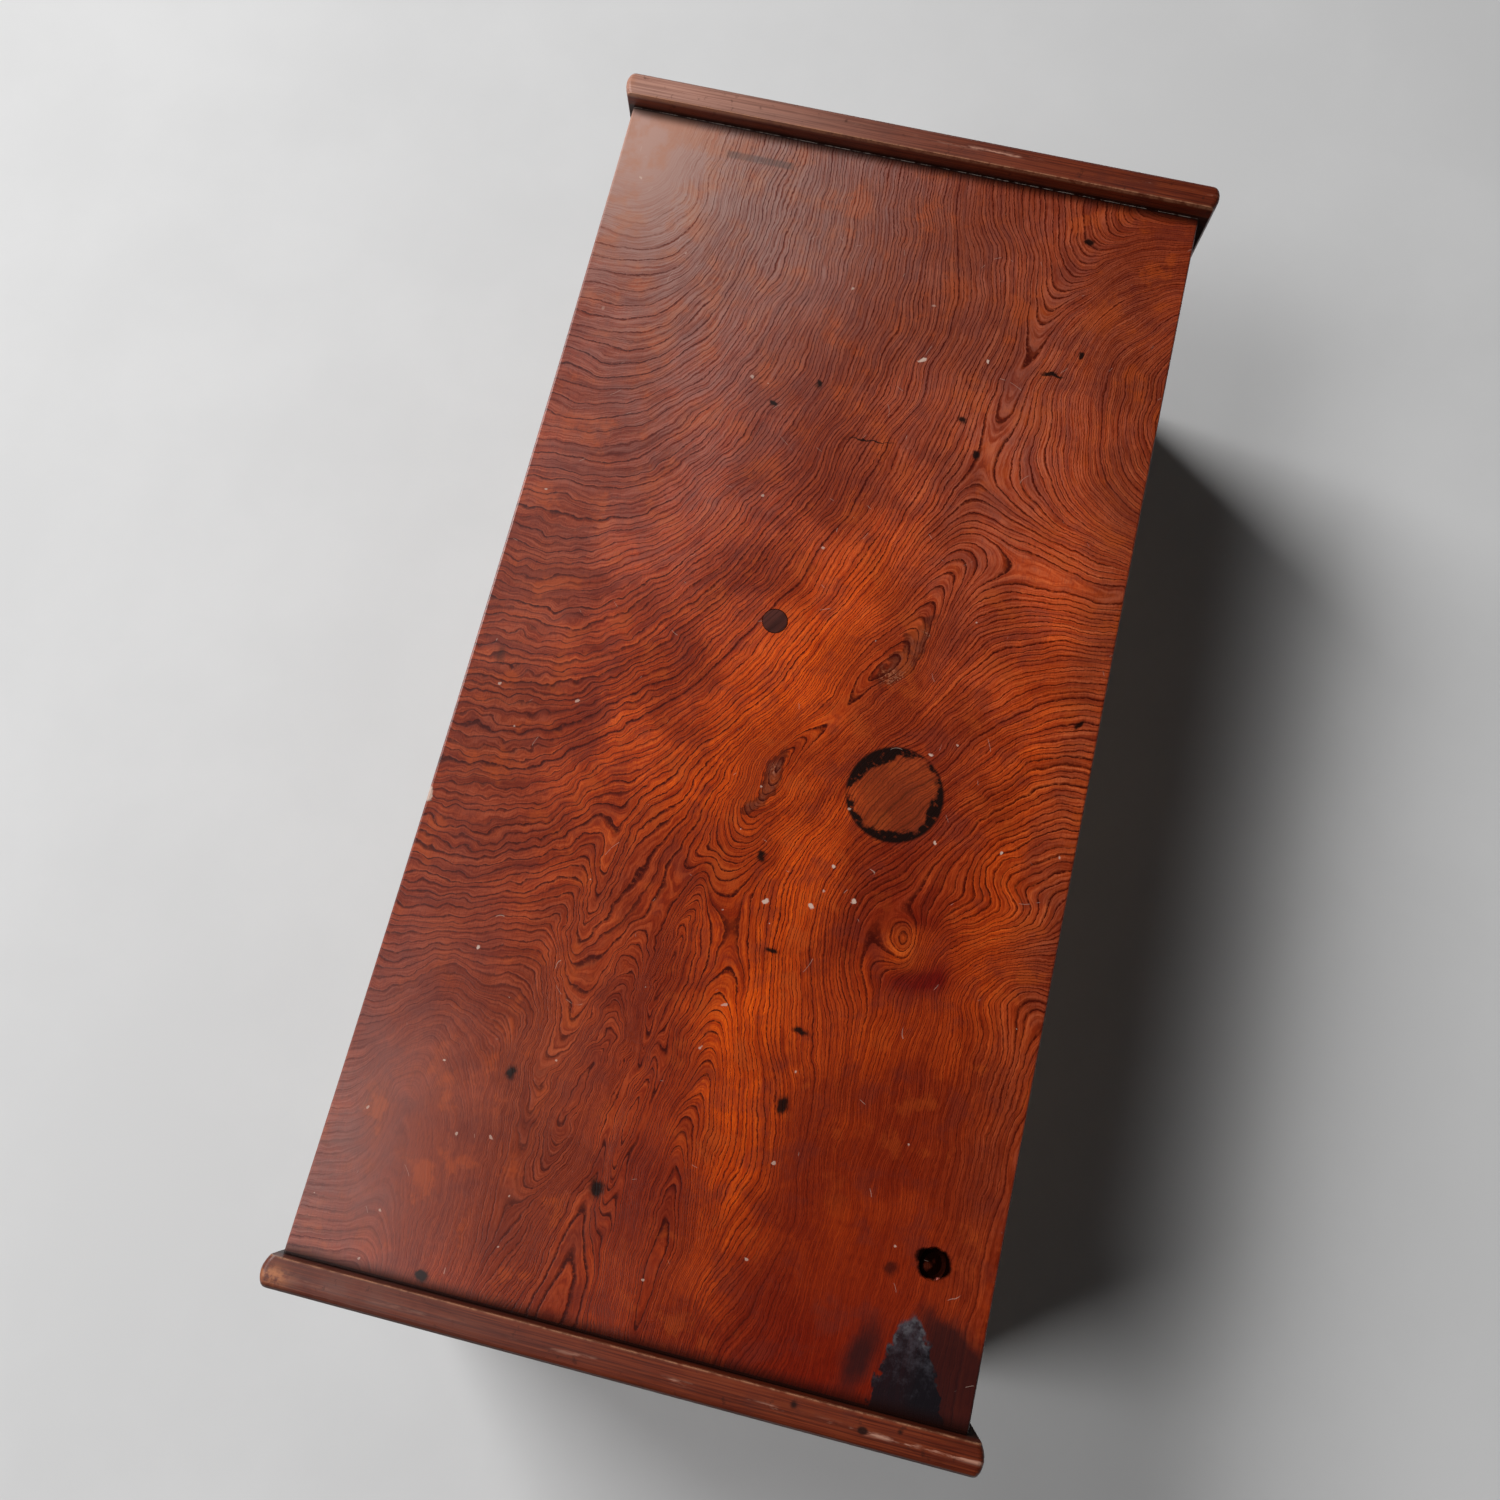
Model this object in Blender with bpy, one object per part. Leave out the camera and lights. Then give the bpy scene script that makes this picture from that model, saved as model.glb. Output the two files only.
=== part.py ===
"""Low Japanese writing table: a figured board held between two end panels, over a case with two drawers.

Metres, +Z up. The floor is z = 0 and the origin is midway between the end panels.
The sitter is on the -Y side, and +X is to the sitter's right.
"""

import math

import bmesh
import bpy
from mathutils import Vector

for old_object in list(bpy.data.objects):
    bpy.data.objects.remove(old_object, do_unlink=True)

# Table as a whole
CLEAR_LENGTH = 0.860  # length of the board that shows between the end panels
PANEL_DEPTH = 0.4545  # end panels front to back, one and a half shaku
WRITING_HEIGHT = 0.310  # floor to the top of the board
FIT_GAP = 0.0003  # clearance between glued or seated faces

# End panels, whose moulded tops stand above the board as brush stops
PANEL_THICK = 0.020
STOP_RISE = 0.0147  # inner arris above the board
STOP_CROWN = 0.0012  # crest of the rounded top above that arris
STOP_CREST = 0.009  # distance of the crest from the inner face
STOP_ROUND = 0.004  # round-over of the outer top edge
EDGE_SWELL = 0.003  # how far the front and back edges swell between their arrises
TOP_CORNER = 0.004  # radius of the two top corners seen from the end
FOOT_LENGTH = 0.085
FOOT_ARCH_RISE = 0.044
FOOT_ARCH_RADIUS = 0.030

# Top board
BOARD_THICK = 0.018
FRONT_REVEAL = 0.0066  # board's front edge behind the panels' front edges
BACK_REVEAL = 0.0099
FRONT_HOLLOW = 0.0032  # hollow of the planed front edge at mid length
BACK_HOLLOW = 0.0016
BOARD_EDGE_ROUND = 0.0016
TONGUE_THICK = 0.008  # tongue on each end of the board, in a stopped groove of the panel
TONGUE_STOP = 0.025  # the tongue ends this far from the board's long edges
HOUSING_DEPTH = 0.007  # depth of every groove and mortise in the panels

# Marks that go into the board
PLUG_RADIUS = 0.0088
PLUG_DEPTH = 0.008
PLUG_AT = (-0.0484, -0.0172)
KNOT_LENGTH = 0.021
KNOT_WIDTH = 0.017
KNOT_DEPTH = 0.0022
KNOT_AT = (0.3391, 0.1765)

# Drawer case
CASE_SETBACK = 0.027  # drawer fronts behind the panels' front edges
DRAWER_SPACE = 0.084  # height between the board and the front rail
RAIL_HEIGHT = 0.020
RAIL_THICK = 0.024
TENON_SHOULDER = 0.004
FLOOR_THICK = 0.009
FLOOR_TONGUE = 0.004  # how far the floor goes into the front rail and the back board
BACK_THICK = 0.012
BACK_SETBACK = 0.016  # back board in from the panels' back edges
DIVIDER_THICK = 0.016
EASE = 0.0008  # eased edges of the planed pieces

# Drawers
SIDE_PLAY = 0.001
TOP_PLAY = 0.002
FRONT_THICK = 0.016
FRONT_LAP = 0.009  # how far the sides go into the drawer front
SIDE_THICK = 0.009
DRAWER_BACK_THICK = 0.009
SIDE_DROP = 0.004  # sides and back lower than the drawer front
BOTTOM_THICK = 0.005
BOTTOM_RISE = 0.006  # bottom board above the lower edge of the sides
GROOVE_DEPTH = 0.004

# Drop handles
HANDLE_SPAN = 0.064  # between the two eye posts
HANDLE_RAISE = 0.008  # hinge line above the middle of the drawer front
EYE_REACH = 0.0105  # hinge line in front of the drawer front
EYE_RADIUS = 0.0050
PIN_RADIUS = 0.0015
PIN_PLAY = 0.0004
SHANK_RADIUS = 0.0022
NECK_RADIUS = 0.0031
CLENCH_RADIUS = 0.0050
CLENCH_THICK = 0.0015
ROSETTE_RADIUS = 0.0110
ROSETTE_THICK = 0.0020
BAIL_DROP = 0.030  # hinge line to the middle of the grip
BAIL_SHOULDER = 0.0085  # bail's arms outside the eye posts
BAIL_PIN = 0.0065  # length of the pin inside each eye post
BAIL_GRIP_RADIUS = 0.0027
BAIL_FORWARD = 0.0030  # grip stands this far in front of the hinge line

# Faces that several pieces share
HALF_CLEAR = CLEAR_LENGTH / 2
HALF_DEPTH = PANEL_DEPTH / 2
BOARD_UNDER = WRITING_HEIGHT - BOARD_THICK
BOARD_FRONT = -HALF_DEPTH + FRONT_REVEAL
BOARD_BACK = HALF_DEPTH - BACK_REVEAL
FACE_Y = -HALF_DEPTH + CASE_SETBACK
FLOOR_TOP = BOARD_UNDER - DRAWER_SPACE
BACK_OUTER = HALF_DEPTH - BACK_SETBACK
BACK_INNER = BACK_OUTER - BACK_THICK
RAIL_BACK = FACE_Y + RAIL_THICK


def material(name, colour, roughness, metallic=0.0):
    made = bpy.data.materials.new(name)
    made.use_nodes = True
    shader = made.node_tree.nodes["Principled BSDF"]
    shader.inputs["Base Color"].default_value = (*colour, 1.0)
    shader.inputs["Roughness"].default_value = roughness
    shader.inputs["Metallic"].default_value = metallic
    return made


LACQUERED_TOP = material("lacquered_top", (0.230, 0.052, 0.022), 0.34)
LACQUERED_PANEL = material("lacquered_panel", (0.150, 0.036, 0.022), 0.38)
CASE_WOOD = material("case_wood", (0.160, 0.045, 0.024), 0.45)
DRAWER_WOOD = material("drawer_wood", (0.420, 0.280, 0.160), 0.65)
PLUG_WOOD = material("plug_wood", (0.050, 0.018, 0.016), 0.45)
BLACK_IRON = material("black_iron", (0.030, 0.028, 0.027), 0.50, 0.9)


def add_object(name, mesh, finish, parent):
    made = bpy.data.objects.new(name, mesh)
    bpy.context.scene.collection.objects.link(made)
    made.parent = parent
    if finish:
        mesh.materials.append(finish)
    return made


def add_empty(name, place, parent=None):
    made = bpy.data.objects.new(name, None)
    bpy.context.scene.collection.objects.link(made)
    made.location = place
    made.parent = parent
    return made


def block(name, low, high, finish=None, parent=None, ease=0.0):
    """A planed piece of wood between two corners, with its edges eased."""
    shape = bmesh.new()
    bmesh.ops.create_cube(shape, size=1.0)
    for vert in shape.verts:
        vert.co = [low[i] if vert.co[i] < 0 else high[i] for i in range(3)]
    mesh = bpy.data.meshes.new(name)
    shape.to_mesh(mesh)
    shape.free()
    made = add_object(name, mesh, finish, parent)
    if ease:
        bevel = made.modifiers.new("eased_edges", "BEVEL")
        bevel.width = ease
        bevel.segments = 1
    return made


def loft(name, rings, finish=None, parent=None, ring_shape=False, smooth_angle=0.6):
    """Skins closed rings of points in order: capped at both ends, or joined end to start as a ring shape."""
    shape = bmesh.new()
    loops = [[shape.verts.new(point) for point in ring] for ring in rings]
    pairs = list(zip(loops, loops[1:]))
    if ring_shape:
        pairs.append((loops[-1], loops[0]))
    else:
        shape.faces.new(loops[0])
        shape.faces.new(loops[-1])
    for one, two in pairs:
        for i in range(len(one)):
            shape.faces.new((one[i - 1], one[i], two[i], two[i - 1]))
    bmesh.ops.recalc_face_normals(shape, faces=shape.faces)
    mesh = bpy.data.meshes.new(name)
    shape.to_mesh(mesh)
    shape.free()
    mesh.shade_smooth()
    mesh.set_sharp_from_angle(angle=smooth_angle)
    return add_object(name, mesh, finish, parent)


def combine(target, tool, operation="DIFFERENCE"):
    """Cuts a helper from a piece, or joins it on, and keeps the helper as a wire guide."""
    tool.hide_render = True
    tool.display_type = "WIRE"
    change = target.modifiers.new(tool.name, "BOOLEAN")
    change.operation = operation
    change.solver = "EXACT"
    change.object = tool


def arc(centre, radius, start, end, steps):
    """Points of an arc in a plane, angles in degrees."""
    turns = [math.radians(start + (end - start) * i / steps) for i in range(steps + 1)]
    return [(centre[0] + radius * math.cos(a), centre[1] + radius * math.sin(a)) for a in turns]


def turned_rings(profile, sides, centre):
    """Rings about an axis along Y, for a profile of (distance along Y, radius)."""
    turns = [2 * math.pi * i / sides for i in range(sides)]
    return [
        [
            Vector(centre) + Vector((radius * math.cos(a), along, radius * math.sin(a)))
            for a in turns
        ]
        for along, radius in profile
    ]


def grown(low, high, by):
    """The corners of a box made larger by a clearance on every side."""
    return [c - by for c in low], [c + by for c in high]


# Top board: a lofted plank with hollowed long edges and a tongue on each end

def board_section(x):
    """The board's section at x, with rounded arrises."""
    inset = 1 - (x / HALF_CLEAR) ** 2
    front = BOARD_FRONT + FRONT_HOLLOW * inset
    back = BOARD_BACK - BACK_HOLLOW * inset
    r = BOARD_EDGE_ROUND
    corners = (
        ((back - r, WRITING_HEIGHT - r), 0),
        ((front + r, WRITING_HEIGHT - r), 90),
        ((front + r, BOARD_UNDER + r), 180),
        ((back - r, BOARD_UNDER + r), 270),
    )
    points = [p for centre, start in corners for p in arc(centre, r, start, start + 90, 3)]
    return [Vector((x, y, z)) for y, z in points]


BOARD_STATIONS = 12
board_reach = HALF_CLEAR - FIT_GAP
stations = [board_reach * (2 * i / BOARD_STATIONS - 1) for i in range(BOARD_STATIONS + 1)]
top_board = loft("top_board", [board_section(x) for x in stations], LACQUERED_TOP)

TONGUE_MID = WRITING_HEIGHT - BOARD_THICK / 2
TONGUE_LOW = (BOARD_FRONT + TONGUE_STOP, TONGUE_MID - TONGUE_THICK / 2)
TONGUE_HIGH = (BOARD_BACK - TONGUE_STOP, TONGUE_MID + TONGUE_THICK / 2)
tongue_reach = HALF_CLEAR + HOUSING_DEPTH - FIT_GAP
tongues = block("board_tongues", (-tongue_reach, *TONGUE_LOW), (tongue_reach, *TONGUE_HIGH))
combine(top_board, tongues, "UNION")

CIRCLE_SIDES = 24
OVERCUT = 0.004  # how far a cutter passes the face that it cuts


def round_ring(centre, half_x, half_y, z):
    turns = [2 * math.pi * i / CIRCLE_SIDES for i in range(CIRCLE_SIDES)]
    return [Vector((centre[0] + half_x * math.cos(a), centre[1] + half_y * math.sin(a), z)) for a in turns]


bore_radius = PLUG_RADIUS + FIT_GAP
bore_levels = (WRITING_HEIGHT - PLUG_DEPTH, WRITING_HEIGHT + OVERCUT)
combine(top_board, loft("plug_bore", [round_ring(PLUG_AT, bore_radius, bore_radius, z) for z in bore_levels]))
PLUG_CHAMFER = 0.0004
plug_levels = (
    (WRITING_HEIGHT - PLUG_DEPTH + FIT_GAP, PLUG_RADIUS),
    (WRITING_HEIGHT - PLUG_CHAMFER, PLUG_RADIUS),
    (WRITING_HEIGHT, PLUG_RADIUS - PLUG_CHAMFER),
)
loft("knot_plug", [round_ring(PLUG_AT, r, r, z) for z, r in plug_levels], PLUG_WOOD)

# Dead knot: a shallow dished hollow, cut by a lens that shrinks towards its floor
KNOT_STEPS = 4
knot_rings = [round_ring(KNOT_AT, KNOT_LENGTH / 2, KNOT_WIDTH / 2, WRITING_HEIGHT + OVERCUT)]
for step in range(KNOT_STEPS):
    share = step / KNOT_STEPS
    width = math.sqrt(1 - share**2)
    level = WRITING_HEIGHT - KNOT_DEPTH * share
    knot_rings.append(round_ring(KNOT_AT, KNOT_LENGTH / 2 * width, KNOT_WIDTH / 2 * width, level))
combine(top_board, loft("knot_hollow", knot_rings))


# Drawer case under the board

rail_low = (-HALF_CLEAR + FIT_GAP, FACE_Y, FLOOR_TOP - RAIL_HEIGHT)
rail_high = (HALF_CLEAR - FIT_GAP, RAIL_BACK, FLOOR_TOP)
front_rail = block("front_rail", rail_low, rail_high, CASE_WOOD, ease=EASE)
TENON_REACH = HALF_CLEAR + HOUSING_DEPTH - FIT_GAP
TENON_LOW = (-TENON_REACH, FACE_Y + TENON_SHOULDER, FLOOR_TOP - RAIL_HEIGHT + TENON_SHOULDER)
TENON_HIGH = (TENON_REACH, RAIL_BACK - TENON_SHOULDER, FLOOR_TOP - TENON_SHOULDER)
combine(front_rail, block("rail_tenons", TENON_LOW, TENON_HIGH), "UNION")

# The floor lies in grooves of both panels and of the back board, and has a bare-faced tongue at the front
FLOOR_UNDER = FLOOR_TOP - FLOOR_THICK
floor_low = (-TENON_REACH, RAIL_BACK + FIT_GAP, FLOOR_UNDER)
floor_high = (TENON_REACH, BACK_INNER + FLOOR_TONGUE - FIT_GAP, FLOOR_TOP)
case_floor = block("case_floor", floor_low, floor_high, DRAWER_WOOD)
FLOOR_LIP = FLOOR_THICK / 2  # the tongue is the lower half of the floor
lip_reach = HALF_CLEAR - OVERCUT
lip_low = (-lip_reach, RAIL_BACK - FLOOR_TONGUE + FIT_GAP, FLOOR_UNDER)
lip_high = (lip_reach, RAIL_BACK + FLOOR_TONGUE, FLOOR_UNDER + FLOOR_LIP)
combine(case_floor, block("floor_lip", lip_low, lip_high), "UNION")
rail_groove_low, rail_groove_high = grown(lip_low, lip_high, FIT_GAP)
combine(front_rail, block("rail_groove", rail_groove_low, rail_groove_high))

back_low = (-TENON_REACH, BACK_INNER, FLOOR_TOP - RAIL_HEIGHT)
back_high = (TENON_REACH, BACK_OUTER, BOARD_UNDER - FIT_GAP)
back_board = block("back_board", back_low, back_high, CASE_WOOD)
floor_groove_low, floor_groove_high = grown(floor_low, floor_high, FIT_GAP)
combine(back_board, block("floor_groove", floor_groove_low, floor_groove_high))

divider_low = (-DIVIDER_THICK / 2, FACE_Y, FLOOR_TOP + FIT_GAP)
divider_high = (DIVIDER_THICK / 2, BACK_INNER - FIT_GAP, BOARD_UNDER - FIT_GAP)
block("centre_divider", divider_low, divider_high, CASE_WOOD, ease=EASE)


# End panels: the outline seen from the end is lofted through the thickness, so that the brush stop's crown,
# the outer round-over and the swelled front and back edges are one moulding

def panel_stations():
    """Depths through the panel from its inner face: even steps, then the outer round-over by angle."""
    flat = PANEL_THICK - STOP_ROUND
    steps = [flat * i / 5 for i in range(6)]
    return steps + [flat + STOP_ROUND * math.sin(math.radians(a)) for a in (30, 60, 90)]


def panel_outline(depth_in):
    """The panel's outline at this depth from its inner face."""
    over = max(0.0, depth_in - (PANEL_THICK - STOP_ROUND))
    crown = STOP_CROWN * (1 - ((depth_in - STOP_CREST) / STOP_CREST) ** 2)
    top = WRITING_HEIGHT + STOP_RISE + crown - STOP_ROUND
    top += math.sqrt(max(0.0, STOP_ROUND**2 - over**2))
    edge = HALF_DEPTH - EDGE_SWELL * (2 * depth_in / PANEL_THICK - 1) ** 2
    foot = HALF_DEPTH - FOOT_LENGTH
    r = min(FOOT_ARCH_RADIUS, FOOT_ARCH_RISE)
    rise = FOOT_ARCH_RISE - r
    points = [(-edge, 0.0), (-foot, 0.0)]
    points += arc((-foot + r, rise), r, 180, 90, 5)
    points += arc((foot - r, rise), r, 90, 0, 5)
    points += [(foot, 0.0), (edge, 0.0)]
    points += arc((edge - TOP_CORNER, top - TOP_CORNER), TOP_CORNER, 0, 90, 4)
    points += arc((-edge + TOP_CORNER, top - TOP_CORNER), TOP_CORNER, 90, 180, 4)
    return points


def end_panel(name, side):
    """side is -1 for the left panel and 1 for the right one."""
    rings = [
        [Vector((side * (HALF_CLEAR + depth_in), y, z)) for y, z in panel_outline(depth_in)]
        for depth_in in panel_stations()
    ]
    panel = loft(name, rings, LACQUERED_PANEL)
    housed = {
        "board": ((-tongue_reach, *TONGUE_LOW), (tongue_reach, *TONGUE_HIGH)),
        "rail": (TENON_LOW, TENON_HIGH),
        "floor": (floor_low, floor_high),
        "back": (back_low, back_high),
    }
    for piece, (low, high) in housed.items():
        low, high = grown(low, high, FIT_GAP)
        inner, outer = sorted((side * (HALF_CLEAR - OVERCUT), side * (HALF_CLEAR + HOUSING_DEPTH)))
        housing = block(f"{name}_{piece}_housing", (inner, *low[1:]), (outer, *high[1:]))
        combine(panel, housing)


end_panel("end_panel_left", -1)
end_panel("end_panel_right", 1)


# Drawers, each modelled about an empty at the middle of its front's lower edge

DRAWER_WIDTH = HALF_CLEAR - DIVIDER_THICK / 2 - 2 * SIDE_PLAY
DRAWER_HEIGHT = DRAWER_SPACE - TOP_PLAY - FIT_GAP
DRAWER_LENGTH = BACK_INNER - FACE_Y - FIT_GAP
HALF_WIDTH = DRAWER_WIDTH / 2
SIDE_TOP = DRAWER_HEIGHT - SIDE_DROP
SIDE_FRONT = FRONT_THICK - FRONT_LAP
BACK_FRONT = DRAWER_LENGTH - DRAWER_BACK_THICK
BACK_UNDER = BOTTOM_RISE + BOTTOM_THICK + FIT_GAP
HINGE_Z = DRAWER_HEIGHT / 2 + HANDLE_RAISE


def drawer_front(name, parent):
    low = (-HALF_WIDTH, 0.0, 0.0)
    front = block(name, low, (HALF_WIDTH, FRONT_THICK, DRAWER_HEIGHT), CASE_WOOD, parent, ease=EASE)
    for side in (-1, 1):
        inner, outer = sorted((side * (HALF_WIDTH - SIDE_THICK - FIT_GAP), side * (HALF_WIDTH + OVERCUT)))
        lap_low = (inner, SIDE_FRONT, -OVERCUT)
        lap_high = (outer, FRONT_THICK + OVERCUT, DRAWER_HEIGHT + OVERCUT)
        combine(front, block(f"{name}_lap_{side}", lap_low, lap_high, parent=parent))
        bore = [(along, SHANK_RADIUS + FIT_GAP) for along in (-OVERCUT, FRONT_THICK + OVERCUT)]
        place = (side * HANDLE_SPAN / 2, 0.0, HINGE_Z)
        combine(front, loft(f"{name}_bore_{side}", turned_rings(bore, CIRCLE_SIDES // 2, place), parent=parent))
    return front


def drawer_back(name, parent):
    """The back sits on the bottom board, and the middle third of each end is a finger through the side."""
    reach = HALF_WIDTH - SIDE_THICK - FIT_GAP
    back = block(name, (-reach, BACK_FRONT, BACK_UNDER), (reach, DRAWER_LENGTH, SIDE_TOP), DRAWER_WOOD, parent)
    finger = finger_span()
    low = (-HALF_WIDTH, BACK_FRONT, finger[0])
    fingers = block(f"{name}_fingers", low, (HALF_WIDTH, DRAWER_LENGTH, finger[1]), parent=parent)
    combine(back, fingers, "UNION")


def finger_span():
    """Bottom and top of the finger: the middle third of the drawer back."""
    third = (SIDE_TOP - BACK_UNDER) / 3
    return BACK_UNDER + third, SIDE_TOP - third


def drawer_side(name, side, parent):
    inner, outer = sorted((side * (HALF_WIDTH - SIDE_THICK), side * HALF_WIDTH))
    low = (inner, SIDE_FRONT + FIT_GAP, 0.0)
    board = block(name, low, (outer, DRAWER_LENGTH, SIDE_TOP), DRAWER_WOOD, parent)
    finger = finger_span()
    notch_low = (inner - OVERCUT, BACK_FRONT - FIT_GAP, finger[0] - FIT_GAP)
    notch_high = (outer + OVERCUT, DRAWER_LENGTH + OVERCUT, finger[1] + FIT_GAP)
    combine(board, block(f"{name}_notch", notch_low, notch_high, parent=parent))
    return board


def drawer_bottom(name, grooved, parent):
    """The bottom board slides in grooves of the front and the sides, under the back."""
    reach = HALF_WIDTH - SIDE_THICK + GROOVE_DEPTH - FIT_GAP
    low = (-reach, FRONT_THICK - GROOVE_DEPTH + FIT_GAP, BOTTOM_RISE)
    high = (reach, DRAWER_LENGTH, BOTTOM_RISE + BOTTOM_THICK)
    block(name, low, high, DRAWER_WOOD, parent)
    groove_low, groove_high = grown(low, high, FIT_GAP)
    groove_high[1] += OVERCUT
    groove = block(f"{name}_groove", groove_low, groove_high, parent=parent)
    for board in grooved:
        combine(board, groove)


def eye_post(name, x, parent):
    """A forged eye on a shank that goes through the drawer front and is clenched over a washer inside."""
    ball = [
        (-EYE_REACH - EYE_RADIUS * math.cos(a), max(NECK_RADIUS / 2, EYE_RADIUS * math.sin(a)))
        for a in (math.radians(10 + 26 * i) for i in range(6))
    ]
    profile = ball + [
        (-FIT_GAP, NECK_RADIUS),
        (-FIT_GAP, SHANK_RADIUS),
        (FRONT_THICK + FIT_GAP, SHANK_RADIUS),
        (FRONT_THICK + FIT_GAP, CLENCH_RADIUS),
        (FRONT_THICK + FIT_GAP + CLENCH_THICK, CLENCH_RADIUS - CLENCH_THICK),
    ]
    post = loft(name, turned_rings(profile, 16, (x, 0.0, HINGE_Z)), BLACK_IRON, parent)
    hole_radius = PIN_RADIUS + PIN_PLAY
    turns = [2 * math.pi * i / 12 for i in range(12)]
    rings = [
        [
            Vector((x + end, -EYE_REACH + hole_radius * math.cos(a), HINGE_Z + hole_radius * math.sin(a)))
            for a in turns
        ]
        for end in (-EYE_RADIUS - OVERCUT, EYE_RADIUS + OVERCUT)
    ]
    combine(post, loft(f"{name}_eye", rings, parent=parent))


def rosette(name, x, parent):
    """A domed washer under the eye, with a hole for the neck of the post."""
    hole = NECK_RADIUS + FIT_GAP
    profile = [
        (-FIT_GAP, hole),
        (-FIT_GAP, ROSETTE_RADIUS),
        (-FIT_GAP - ROSETTE_THICK * 0.35, ROSETTE_RADIUS),
        (-FIT_GAP - ROSETTE_THICK * 0.85, (ROSETTE_RADIUS + hole) / 2),
        (-FIT_GAP - ROSETTE_THICK, hole),
    ]
    loft(name, turned_rings(profile, CIRCLE_SIDES, (x, 0.0, HINGE_Z)), BLACK_IRON, parent, ring_shape=True)


def bail(name, parent):
    """A forged bail about its hinge line: thin pins through the eyes, arms, and a grip that thickens in the middle."""
    half_span = HANDLE_SPAN / 2
    arm = half_span + BAIL_SHOULDER
    bend = BAIL_SHOULDER - EYE_RADIUS + PIN_RADIUS
    half = [(half_span - BAIL_PIN, 0.0), (half_span + EYE_RADIUS, 0.0)]
    half += arc((arm - bend, -bend), bend, 75, 15, 4)
    steps = 7
    for i in range(steps + 1):
        a = math.pi / 2 * i / steps
        half.append((arm * math.cos(a) ** 0.6, -bend - (BAIL_DROP - bend) * math.sin(a) ** 0.9))
    path = half + [(-x, z) for x, z in reversed(half[:-1])]
    curve = bpy.data.curves.new(name, "CURVE")
    curve.dimensions = "3D"
    curve.bevel_depth = PIN_RADIUS
    curve.bevel_resolution = 2
    curve.use_fill_caps = True
    spline = curve.splines.new("POLY")
    spline.points.add(len(path) - 1)
    for point, (x, z) in zip(spline.points, path):
        drop = -z / BAIL_DROP
        point.co = (x, -BAIL_FORWARD * drop**2, z, 1.0)
        point.radius = 1 + (BAIL_GRIP_RADIUS / PIN_RADIUS - 1) * drop
    hinge = add_empty(f"{name}_hinge", (0.0, -EYE_REACH, HINGE_Z), parent)
    add_object(name, curve, BLACK_IRON, hinge)


for hand, side in (("left", -1), ("right", 1)):
    middle = side * (DIVIDER_THICK / 2 + SIDE_PLAY + HALF_WIDTH)
    slide = add_empty(f"drawer_{hand}_slide", (middle, FACE_Y, FLOOR_TOP + FIT_GAP))
    front = drawer_front(f"drawer_{hand}_front", slide)
    outer_side = drawer_side(f"drawer_{hand}_side_outer", side, slide)
    inner_side = drawer_side(f"drawer_{hand}_side_inner", -side, slide)
    drawer_back(f"drawer_{hand}_back", slide)
    drawer_bottom(f"drawer_{hand}_bottom", (front, outer_side, inner_side), slide)
    for place, x in (("outer", side * HANDLE_SPAN / 2), ("inner", -side * HANDLE_SPAN / 2)):
        eye_post(f"handle_{hand}_post_{place}", x, slide)
        rosette(f"handle_{hand}_rosette_{place}", x, slide)
    bail(f"handle_{hand}_bail", slide)
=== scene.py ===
import math

import bpy
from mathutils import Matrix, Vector

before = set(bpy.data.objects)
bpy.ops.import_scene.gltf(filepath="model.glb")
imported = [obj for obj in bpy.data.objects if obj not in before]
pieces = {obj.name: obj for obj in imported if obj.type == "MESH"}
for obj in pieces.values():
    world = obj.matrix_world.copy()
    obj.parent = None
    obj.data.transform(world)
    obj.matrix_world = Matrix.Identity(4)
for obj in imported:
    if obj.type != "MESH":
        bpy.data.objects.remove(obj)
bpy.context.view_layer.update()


# Camera: held over the table's right-hand end, as by someone who stands there and looks down on the board.
# Its place, turn and lens are solved from the corners of the board and of the end panels.
eye = (0.25917, 0.0563, 1.21966)
eye_turn = (13.8168, 1.0091, 103.6974)
lens, sensor = 33.024, 36.0
bpy.ops.object.select_all(action="DESELECT")
bpy.ops.object.camera_add(location=eye)
camera = bpy.context.object
camera.rotation_euler = [math.radians(turn) for turn in eye_turn]
camera.data.lens = lens
camera.data.sensor_width = sensor
bpy.context.scene.camera = camera
bpy.context.scene.view_settings.view_transform = "Standard"


# Floor: a plain pale sheet under the table, a little mottled and wide enough to fill every view.
# Away from the table it fades, for the camera alone, into the tone of the backdrop, so that no edge shows.
floor_size, floor_drop = 14.0, 0.0005
bpy.ops.mesh.primitive_plane_add(size=floor_size, location=(0.0, 0.0, -floor_drop))
floor = bpy.context.object
floor.name = "floor"
bpy.ops.object.transform_apply(location=True, rotation=True, scale=True)


def node(tree, kind, *feeds, **more):
    """Adds a node. Feeds fill its inputs in order; a capital name is an input and a small one a setting."""
    made = tree.nodes.new("ShaderNode" + kind)
    for name, value in more.items():
        if name[0].islower():
            setattr(made, name, value)
    pairs = list(zip(made.inputs, feeds))
    pairs += [(made.inputs[name], value) for name, value in more.items() if name[0].isupper()]
    for socket, value in pairs:
        if isinstance(value, bpy.types.NodeSocket):
            tree.links.new(value, socket)
        else:
            socket.default_value = value
    return made


def number(tree, operation, *feeds):
    return node(tree, "Math", *feeds, operation=operation).outputs[0]


def times(tree, first, *others):
    """Multiplies masks and numbers, from left to right."""
    for other in others:
        first = number(tree, "MULTIPLY", first, other)
    return first


def noise(tree, place, scale, detail=2.0, roughness=0.5, flat=True):
    return node(
        tree, "TexNoise", place, noise_dimensions="2D" if flat else "3D",
        Scale=scale, Detail=detail, Roughness=roughness,
    ).outputs[0]


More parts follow.
